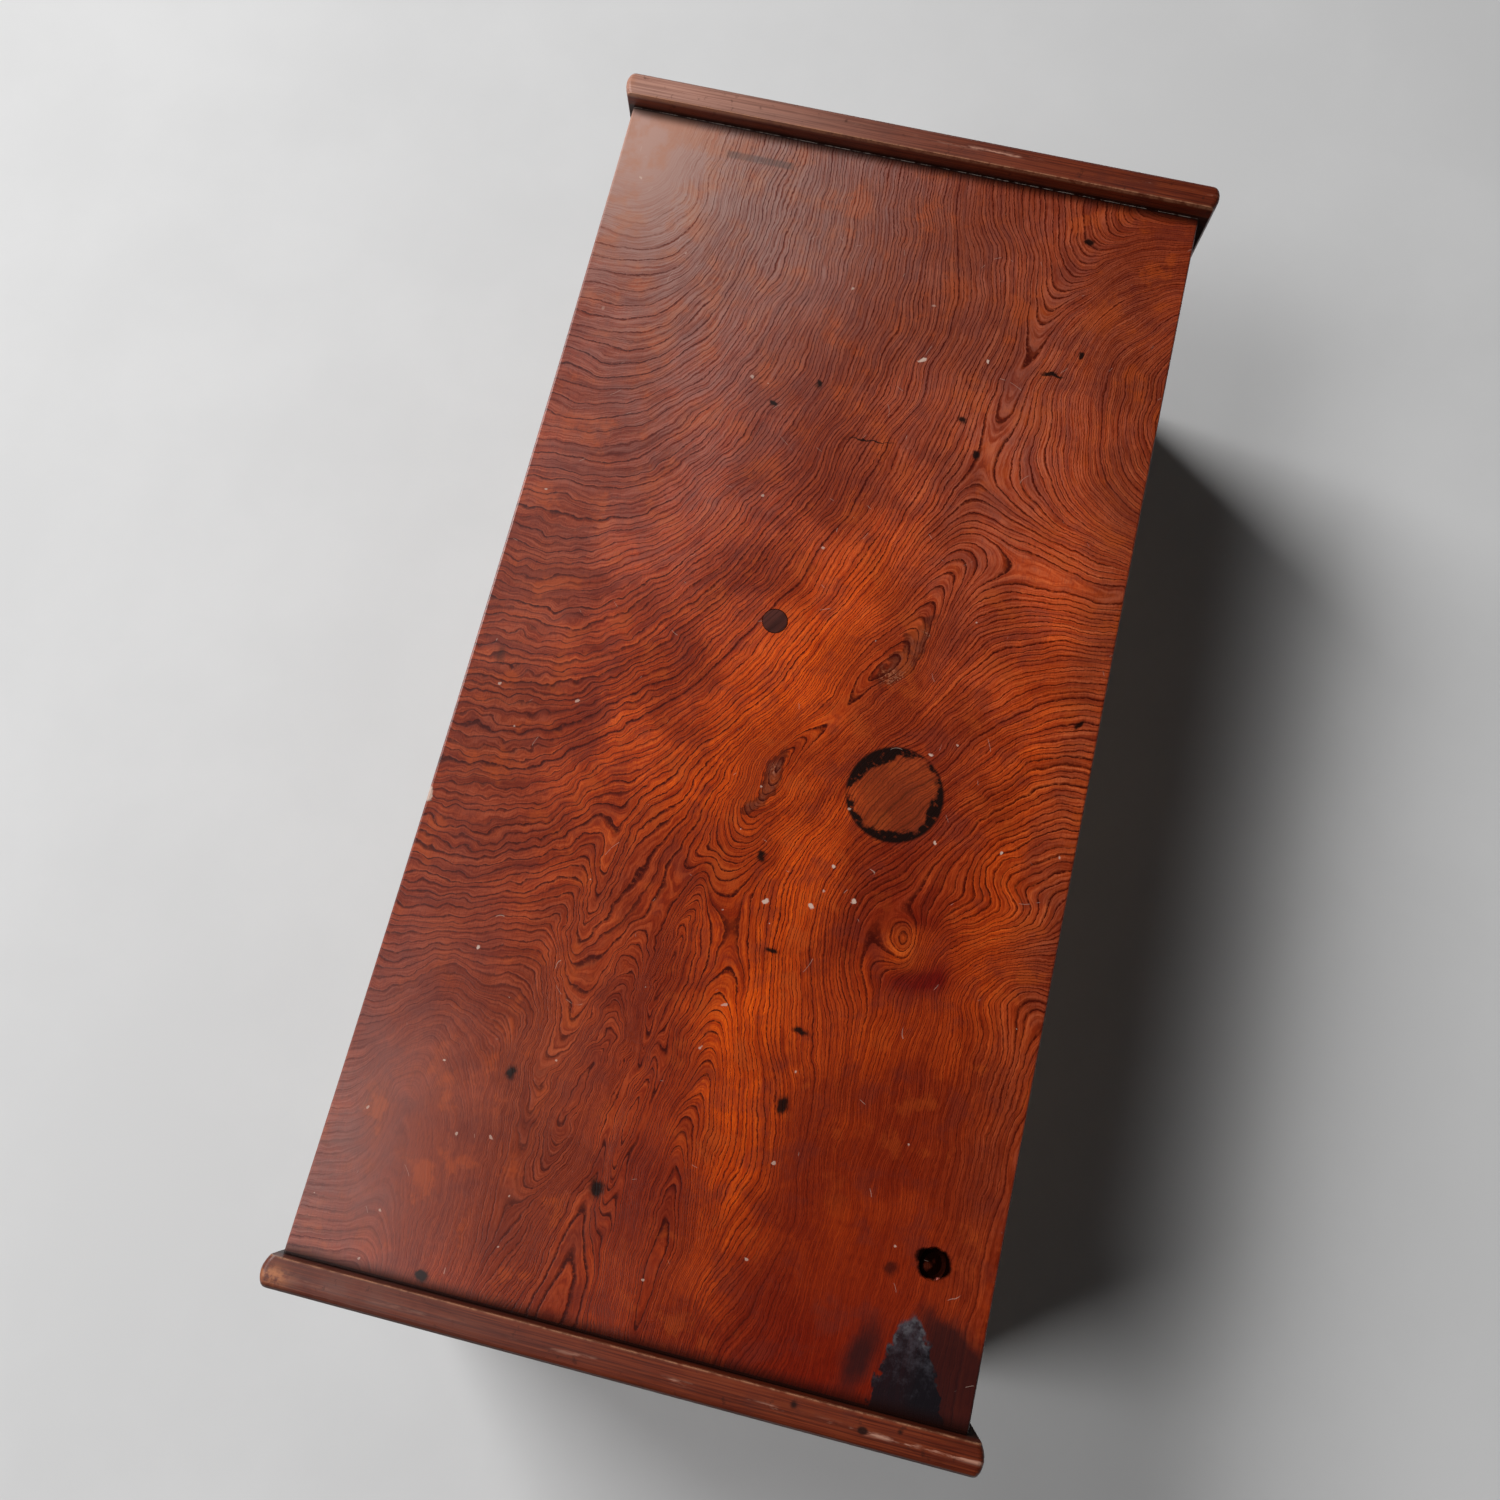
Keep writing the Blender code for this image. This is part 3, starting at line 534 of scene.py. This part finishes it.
dim = pile(
    tree, flat,
    (
        (850, 355, 125, 85, 0, 0.72), (590, 345, 100, 45, 0, 0.34), (690, 168, 80, 20, -14, 0.40),
        (745, 205, 80, 22, 0, 0.45), (602, 350, 9, 22, 10, 0.75), (592, 366, 12, 8, 0, 0.4),
        (562, 345, 5, 16, 0, 0.35), (635, 45, 75, 50, 0, 0.40), (60, 290, 90, 45, 0, 0.30),
        (470, 335, 90, 30, 0, 0.25),
    ),
)
tone = lay(tree, number(tree, "MINIMUM", dim, 1.0), tone, dark_red)
tone = lay(tree, pile(tree, bent, ((581, 338, 13, 11, 0, 0.45),)), tone, branch_wood)
brown = pile(
    tree, flat,
    (
        (150, 350, 260, 120, 0, 0.45), (60, 150, 170, 160, 0, 0.6), (450, 425, 300, 22, 0, 0.5),
        (480, 30, 260, 50, 0, 0.4), (720, 120, 150, 70, 0, 0.45),
    ),
)
tone = lay(tree, brown, tone, old_brown)

# Bands of darker and paler years, and the scaly dark hearts of the lens
shade, light = (0.62, 0.50, 0.55), (1.25, 1.40, 1.3)
band = node(tree, "TexNoise", noise_dimensions="1D", W=layers, Scale=0.7, Detail=2.0).outputs[0]
tone = lay(tree, times(tree, span(tree, band, 0.52, 0.34, 0.0, 0.6), clear), tone, shade, "MULTIPLY")
tone = lay(tree, times(tree, span(tree, band, 0.50, 0.68, 0.0, 0.6), clear), tone, light, "MULTIPLY")
heart_edge, heart_wood, heart_scale = (0.050, 0.005, 0.001), (0.180, 0.036, 0.013), (0.36, 0.125, 0.055)
wet = waver(tree, flat, 0.11, 3.0)
scaly = shifted(tree, bent, wet, 12.0)
hearts = pile(
    tree, scaly,
    ((383, 300, 30, 6, -25, 1.0), (492, 230, 17, 5, -22, 1.0), (513, 220, 9, 4, -35, 0.8)),
)
tone = lay(tree, span(tree, hearts, 0.18, 0.36, 0.0, 0.7), tone, heart_edge)
tone = lay(tree, span(tree, hearts, 0.38, 0.75, 0.0, 0.7), tone, heart_wood)
scale = pile(tree, scaly, ((403, 292, 8, 5, -25, 1.0), (366, 311, 5, 3, 0, 0.6), (490, 231, 7, 3, -22, 0.7)))
scale = times(tree, scale, span(tree, noise(tree, flat, 0.6, 2.0), 0.40, 0.62))
tone = lay(tree, span(tree, scale, 0.1, 0.6, 0.0, 0.6), tone, heart_scale)

# Fibre and short dashes of pores, then the patina of the lacquer, and the dark lines over both
bright_fibre, dark_fibre, dash_shade = (1.45, 2.1, 3.4), (0.50, 0.22, 0.05), (0.45, 0.25, 0.15)
dark_patina, warm_patina, far_corner = (0.115, 0.016, 0.010), (0.40, 0.062, 0.008), (0.31, 0.085, 0.034)
pore_line = (0.042, 0.0016, 0.0)
tone = lay(tree, times(tree, span(tree, fibre, 0.46, 0.66, 0.0, 0.6), clear), tone, bright_fibre, "MULTIPLY")
tone = lay(tree, times(tree, span(tree, fibre, 0.52, 0.34, 0.0, 0.6), clear), tone, dark_fibre, "MULTIPLY")
dash = drawn_noise(tree, flat, (0.16, 1.1, 1.0), 2.0, 0.6, True)
tone = lay(tree, span(tree, dash, 0.36, 0.50, 0.35, 0.0), tone, dash_shade, "MULTIPLY")
patina = noise(tree, flat, 0.035, 4.0, 0.62)
tone = lay(tree, span(tree, patina, 0.50, 0.70, 0.0, 0.38), tone, dark_patina)
warm = times(tree, span(tree, patina, 0.44, 0.30, 0.0, 0.45), span(tree, dim, 0.6, 0.0))
tone = lay(tree, warm, tone, warm_patina)
tone = lay(tree, pile(tree, bent, ((25, 18, 75, 42, 0, 0.9),)), tone, far_corner)
tone = lay(tree, pores, tone, pore_line)

# Pale veil over the far end and the front, thin over the pores: partly rubbed lacquer, partly painted sheen
# that stands in for the lamps' reflection
grey_haze_sheen, pale_haze_sheen, pink_haze_sheen = (0.285, 0.172, 0.150), (0.44, 0.262, 0.212), (0.40, 0.160, 0.080)
haze_and_sheen = pile(
    tree, flat,
    (
        (0, 0, 130, 110, 0, 0.95), (20, 160, 130, 110, 0, 0.46), (230, 100, 190, 120, 0, 0.36),
        (800, 10, 140, 85, 0, 0.42), (200, 350, 260, 100, 0, 0.22),
    ),
    span(tree, cloud, 0.3, 0.7, -0.05, 0.05),
)
filled = number(tree, "MULTIPLY_ADD", pores, -1.6, span(tree, fibre, 0.36, 0.62, 0.30, 1.40))
filled = node(tree, "MapRange", faint, 0.0, 1.0, filled, 1.0).outputs[0]
haze_and_sheen_share = times(tree, span(tree, haze_and_sheen, 0.0, 1.05, 0.0, 0.92), number(tree, "MAXIMUM", filled, 0.0))
haze_and_sheen_tone = lay(tree, pile(tree, bent, ((0, 0, 110, 75, 0, 1.0),)), grey_haze_sheen, pale_haze_sheen)
haze_and_sheen_tone = lay(tree, span(tree, patina, 0.56, 0.34, 0.0, 0.45), haze_and_sheen_tone, pink_haze_sheen)
tone = lay(tree, haze_and_sheen_share, tone, haze_and_sheen_tone)

# Cup ring: a black rim with blots along it, and a browner wood inside
cup_middle, cup_edge = (483.0, 312.0, 0.0), 33.0
cup_wood, cup_black = (0.190, 0.042, 0.012), (0.0045, 0.0015, 0.0010)
rim = node(tree, "VectorMath", flat, cup_middle, operation="DISTANCE").outputs["Value"]
soaked = pile(
    tree, flat,
    (
        (462, 293, 20, 9, -48, 13.0), (489, 342, 17, 8, -8, 9.0),
        (512, 316, 7, 17, 12, 8.0), (505, 291, 9, 6, 45, 4.0),
    ),
    span(tree, noise(tree, flat, 0.12, 3.0, 0.65), 0.3, 0.75, -1.0, 4.5),
)
cup = number(tree, "SUBTRACT", number(tree, "ADD", rim, soaked), cup_edge)
cup = times(
    tree, span(tree, cup, -3.0, 1.5), span(tree, rim, 32.0, 34.4, 0.98, 0.0),
    span(tree, noise(tree, flat, 0.22, 2.0), 0.24, 0.40, 0.55, 1.0),
)
tone = lay(tree, span(tree, rim, cup_edge, 29.0, 0.0, 0.3), tone, cup_wood)
tone = lay(tree, cup, tone, cup_black)

# Spilt ink in the near back corner: a smear round it, a tongue that narrows away from the panel, a dried edge
ink_tip = 800.0
smeared, dried_ink = (0.020, 0.006, 0.006), (0.13, 0.125, 0.135)
fresh_ink, ink_scum_sheen = (0.006, 0.0055, 0.0075), (0.045, 0.043, 0.052)
blotted = shifted(tree, flat, wet, 7.0)
inky = node(tree, "SeparateXYZ", shifted(tree, flat, wet, 13.0)).outputs
along = number(tree, "SUBTRACT", inky["X"], ink_tip)
aside = number(tree, "SUBTRACT", inky["Y"], number(tree, "MULTIPLY_ADD", along, 0.12, 393.0))
ink = number(tree, "SUBTRACT", times(tree, along, 9.6), times(tree, aside, aside))
smear = pile(
    tree, blotted,
    (
        (850, 428, 36, 24, 10, 2.4), (832, 366, 28, 12, -14, 0.9),
        (814, 416, 12, 10, 0, 0.6), (800, 402, 12, 9, 30, 0.5),
    ),
)
tone = lay(tree, span(tree, smear, 0.15, 0.9, 0.0, 0.88), tone, smeared)
# Painted sheen: the grey scum on the ink is paler towards the tongue's tip
sheen = number(tree, "MULTIPLY_ADD", noise(tree, flat, 0.16, 5.0, 0.7), 80.0, times(tree, along, -0.7))
scum_and_sheen = lay(tree, span(tree, sheen, 8.0, 56.0), fresh_ink, ink_scum_sheen)
tone = lay(tree, span(tree, ink, -10.0, 50.0, 0.0, 0.95), tone, scum_and_sheen)
crusted = span(tree, noise(tree, flat, 0.2, 3.0), 0.40, 0.62, 0.0, 0.5)
dried = times(tree, span(tree, ink, 10.0, 55.0), span(tree, ink, 130.0, 70.0, 0.0, crusted))
tone = lay(tree, times(tree, dried, span(tree, along, 32.0, 14.0)), tone, dried_ink)


def stripe(tree, value, middle, inner, outer, share):
    """A share within an inner distance of a middle, fading to none at the outer one."""
    away = number(tree, "ABSOLUTE", number(tree, "SUBTRACT", value, middle))
    return span(tree, away, inner, outer, share, 0.0)


# Grey strip of old glue near the far end
old_glue = (0.075, 0.062, 0.058)
strip = stripe(tree, over["X"], 24.6, 1.8, 4.2, 0.52)
tone = lay(tree, times(tree, strip, stripe(tree, over["Y"], 108.0, 23.0, 29.0, 1.0)), tone, old_glue)

# Knots and specks: worm holes and dark flecks, a pin knot, and the dead knot by the ink with its red heart
worm_hole, pin_wood = (0.005, 0.0012, 0.0006), (0.035, 0.004, 0.002)
dead_wood, knot_heart = (0.003, 0.0008, 0.0005), (0.110, 0.018, 0.008)
dark_spots = pile(
    tree, blotted,
    (
        (698, 285, 6, 5, 0, 0.9), (776, 183, 6, 5, 30, 1.0), (720, 110, 5, 4, 0, 0.8),
        (852, 90, 4, 5, 0, 1.0), (226, 316, 3, 3, 0, 1.0), (202, 300, 4, 3, 30, 0.8),
        (39, 363, 4, 4, 0, 0.9), (197, 193, 4, 3, 0, 0.9), (220, 165, 3, 2, 30, 0.9),
        (152, 357, 1.5, 8, 0, 0.9), (544, 234, 4, 3, 0, 0.8), (604, 256, 2, 5, 0, 0.8),
        (650, 286, 3, 6, 0, 0.8), (406, 424, 5, 2, -40, 0.9), (450, 25, 9, 5, 0, 0.5),
        (233, 239, 0.8, 20, 6, 0.8), (355, 195, 12, 7, 20, 0.32), (132, 375, 2.5, 2.5, 0, 1.0),
    ),
)
tone = lay(tree, span(tree, dark_spots, 0.15, 0.7, 0.0, 0.96), tone, worm_hole)
pin_knot = pile(tree, blotted, ((778, 374, 4.5, 4.5, 0, 1.0),))
tone = lay(tree, span(tree, pin_knot, 0.1, 0.9, 0.0, 0.8), tone, pin_wood)
dead_knot = pile(tree, blotted, ((769, 398.5, 8.2, 9.4, 0, 2.0),))
tone = lay(tree, span(tree, dead_knot, 0.30, 0.62, 0.0, 0.98), tone, dead_wood)
heart = pile(tree, blotted, ((770, 395, 3.4, 4, 0, 1.0), (766, 400, 2, 2, 0, 0.5)))
tone = lay(tree, span(tree, heart, 0.3, 0.9, 0.0, 0.8), tone, knot_heart)

# Pale wear: flecks of bare wood, curled hair scratches, nicks, and a chip out of the front edge
worn_wood = (0.58, 0.42, 0.34)
fleck = node(tree, "TexVoronoi", blotted, voronoi_dimensions="2D", Scale=0.034)
picked = node(tree, "SeparateColor", fleck.outputs["Color"]).outputs
fleck_edge = number(tree, "SUBTRACT", fleck.outputs["Distance"], times(tree, picked["Green"], 0.045))
fleck = span(tree, fleck_edge, -0.008, 0.008, 1.0, 0.0)
fleck = times(tree, fleck, span(tree, picked["Red"], 0.88, 0.90, 0.0, 0.55))
hair = stripe(tree, noise(tree, flat, 0.03, 0.0), 0.5, 0.0012, 0.0045, 0.4)
hair = times(tree, hair, span(tree, noise(tree, flat, 0.07, 1.0), 0.71, 0.74))
nicks = pile(
    tree, blotted,
    (
        (560, 301, 2.6, 2.0, 20, 1.0), (541, 283, 2.2, 1.6, 0, 0.9), (573, 244, 2.0, 3.0, 0, 0.9),
        (569, 275, 2.0, 3.2, -20, 0.9), (505, 390, 2.2, 2.0, 0, 0.9), (450, 331, 1.4, 2.2, 0, 0.8),
        (509, 346, 1.6, 1.6, 0, 0.8), (162, 263, 2.2, 3.0, 0, 0.9), (152, 310, 2.0, 2.4, 30, 0.9),
        (648, 66, 2.2, 2.2, 0, 0.9), (723, 66, 1.6, 2.2, 0, 0.8), (785, 415, 1.0, 8.0, 35, 0.6),
    ),
)
chip = times(tree, pile(tree, scaly, ((555, 3, 8, 6, 0, 1.6),)), span(tree, below, -6.0, -1.5))
pale = number(tree, "MAXIMUM", number(tree, "MAXIMUM", fleck, hair), span(tree, chip, 0.4, 0.8, 0.0, 0.75))
pale = number(tree, "MAXIMUM", pale, span(tree, nicks, 0.45, 0.75, 0.0, 0.85))
tone = lay(tree, pale, tone, worn_wood)

# Painted shadow of the end panels across both ends of the board, a dark line at each joint, darker long
# edges, and a pale line of glue at the far end
shadow_and_edge_dark, glue_line = (0.012, 0.003, 0.002), (0.42, 0.34, 0.30)
from_end = number(tree, "MINIMUM", over["X"], number(tree, "SUBTRACT", board_length, over["X"]))
from_side = number(tree, "MINIMUM", over["Y"], number(tree, "SUBTRACT", board_depth, over["Y"]))
darker_long_edges = span(tree, from_side, 0.6, 2.2, 0.8, 0.0)
# The soft band at each end is painted shadow of the end panels
shade_and_dark_edges = number(tree, "MAXIMUM", span(tree, from_end, 0.5, 11.0, 0.8, 0.0), darker_long_edges)
shade_and_dark_edges = number(tree, "MAXIMUM", shade_and_dark_edges, span(tree, from_end, 1.6, 2.8, 0.97, 0.0))
tone = lay(tree, shade_and_dark_edges, tone, shadow_and_edge_dark)
glue = stripe(tree, over["X"], 0.6, 0.2, 0.5, 0.5)
glue = times(tree, glue, span(tree, noise(tree, flat, 0.09, 4.0, 0.7), 0.42, 0.58))
tone = lay(tree, glue, tone, glue_line)
tree.links.new(tone, shader.inputs["Base Color"])
shader.inputs["Specular IOR Level"].default_value = 0.32
dull_knot = span(tree, dead_knot, 0.3, 0.6, 0.0, 0.5)
dull = number(tree, "MAXIMUM", span(tree, haze_and_sheen, -0.2, 0.9, 0.25, 0.52), dull_knot)
tree.links.new(dull, shader.inputs["Roughness"])

# The dead knot is a hole that swallows light: as a near-black metal it has none of the gloss of the lacquer
tree.links.new(span(tree, dead_knot, 0.30, 0.62), shader.inputs["Metallic"])
raise_grain(tree, shader, number(tree, "MULTIPLY_ADD", fibre, 0.5, times(tree, pores, -0.7)), 0.12)
pieces["top_board"].data.materials[0] = board_finish


# Plug: a round of darker wood that fills a bored hole in the board.
# It is turned to the hole, glued in and planed level, with its own grain aslant.
plug_finish, tree, shader = new_finish("plug_wood")
place = node(tree, "TexCoord").outputs["Object"]
aslant = (0.0, 0.0, 0.6)
plank = node(tree, "Mapping", place, Location=(60.0, 40.0, -300.0), Rotation=aslant, Scale=to_mm).outputs[0]
grain = use_group(tree, sawn_grain, Place=plank, Spacing=1.6, Wander=3.0)
plug_dark, plug_pale, plug_line = (0.052, 0.014, 0.010), (0.092, 0.025, 0.018), (0.020, 0.005, 0.004)
tree.links.new(sawn_tone(tree, grain, plug_dark, plug_pale, plug_line, 0.7), shader.inputs["Base Color"])
tree.links.new(span(tree, grain["Fibre"], 0.3, 0.7, 0.34, 0.26), shader.inputs["Roughness"])
shader.inputs["Specular IOR Level"].default_value = 0.32
pieces["knot_plug"].data.materials[0] = plug_finish


# Drawers: two, with fronts in the lacquered wood of the case and the rest in its bare softwood.
# Sides and back are fingered together, and the bottom slides in grooves of the front and the sides.
for hand in ("left", "right"):
    pieces[f"drawer_{hand}_front"].data.materials[0] = case_finish
    for name in ("side_outer", "side_inner", "back", "bottom"):
        pieces[f"drawer_{hand}_{name}"].data.materials[0] = bare_finish


# Drop handles: one forged bail for each drawer, hung in two eye posts that are clenched inside the front.
# A domed washer lies under each eye. Blackened iron, hammered and a little rusted.
black_iron, rust = (0.022, 0.021, 0.021), (0.075, 0.034, 0.018)
iron_finish, tree, shader = new_finish("forged_iron")
place = node(tree, "TexCoord").outputs["Object"]
rusted = noise(tree, place, 180.0, 5.0, 0.65, False)
hammered = noise(tree, place, 420.0, 2.0, 0.5, False)
tree.links.new(lay(tree, span(tree, rusted, 0.42, 0.72), black_iron, rust), shader.inputs["Base Color"])
tree.links.new(span(tree, rusted, 0.4, 0.7, 0.85, 0.35), shader.inputs["Metallic"])
tree.links.new(span(tree, rusted, 0.35, 0.7, 0.42, 0.72), shader.inputs["Roughness"])
tree.links.new(node(tree, "Bump", 0.35, 0.0006, Height=hammered).outputs[0], shader.inputs["Normal"])
for hand in ("left", "right"):
    for name in ("post_outer", "post_inner", "rosette_outer", "rosette_inner", "bail"):
        pieces[f"handle_{hand}_{name}"].data.materials[0] = iron_finish
